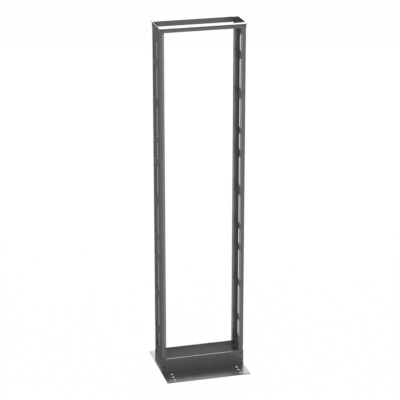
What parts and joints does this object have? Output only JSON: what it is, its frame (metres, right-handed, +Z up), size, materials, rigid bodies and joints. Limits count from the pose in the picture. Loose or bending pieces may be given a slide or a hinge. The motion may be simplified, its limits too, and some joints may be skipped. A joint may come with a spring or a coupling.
{
  "type": "two post open frame rack",
  "caption": "Tall open frame for rack mounted equipment: two channel posts with hole columns and cable windows, joined by top angles and wide base angles.",
  "frame": {"origin": "on the floor, midway between the two posts and midway between front and back", "axes": "+Z up, +X to the right seen from the front, -Y to the front"},
  "size_m": [0.5144, 0.462, 2.1336],
  "materials": {
    "post_paint": "satin dark grey powder coat",
    "angle_paint": "satin dark grey powder coat"
  },
  "bodies": {
    "root": {"left_post": "post_paint", "right_post": "post_paint", "front_base_angle": "angle_paint", "back_base_angle": "angle_paint", "front_top_angle": "angle_paint", "back_top_angle": "angle_paint"}
  },
  "joints": []
}
